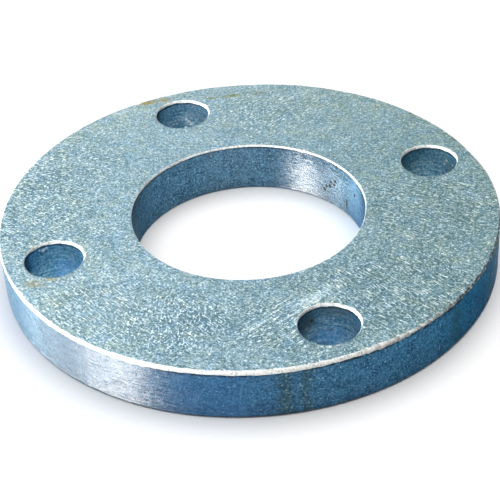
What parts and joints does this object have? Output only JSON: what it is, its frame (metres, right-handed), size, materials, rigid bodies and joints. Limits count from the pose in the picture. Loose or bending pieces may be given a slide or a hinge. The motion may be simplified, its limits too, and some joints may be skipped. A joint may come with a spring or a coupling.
{
  "type": "slip on flange",
  "caption": "Flat round steel plate flange with a central pipe bore, bolt holes on a pitch circle and lightly chamfered edges; it slips over a pipe end for welding and bolts to a mating flange.",
  "frame": {"origin": "centre of the back face, on the bore axis", "axes": "+Z along the bore axis from the back face to the front face; the bolt holes straddle X and Y"},
  "size_m": [0.13, 0.13, 0.014],
  "materials": {
    "steel": "ground and scuffed faces with a cold blue-grey cast, turned rim and bore"
  },
  "bodies": {
    "root": {"flange": "steel"}
  },
  "joints": []
}
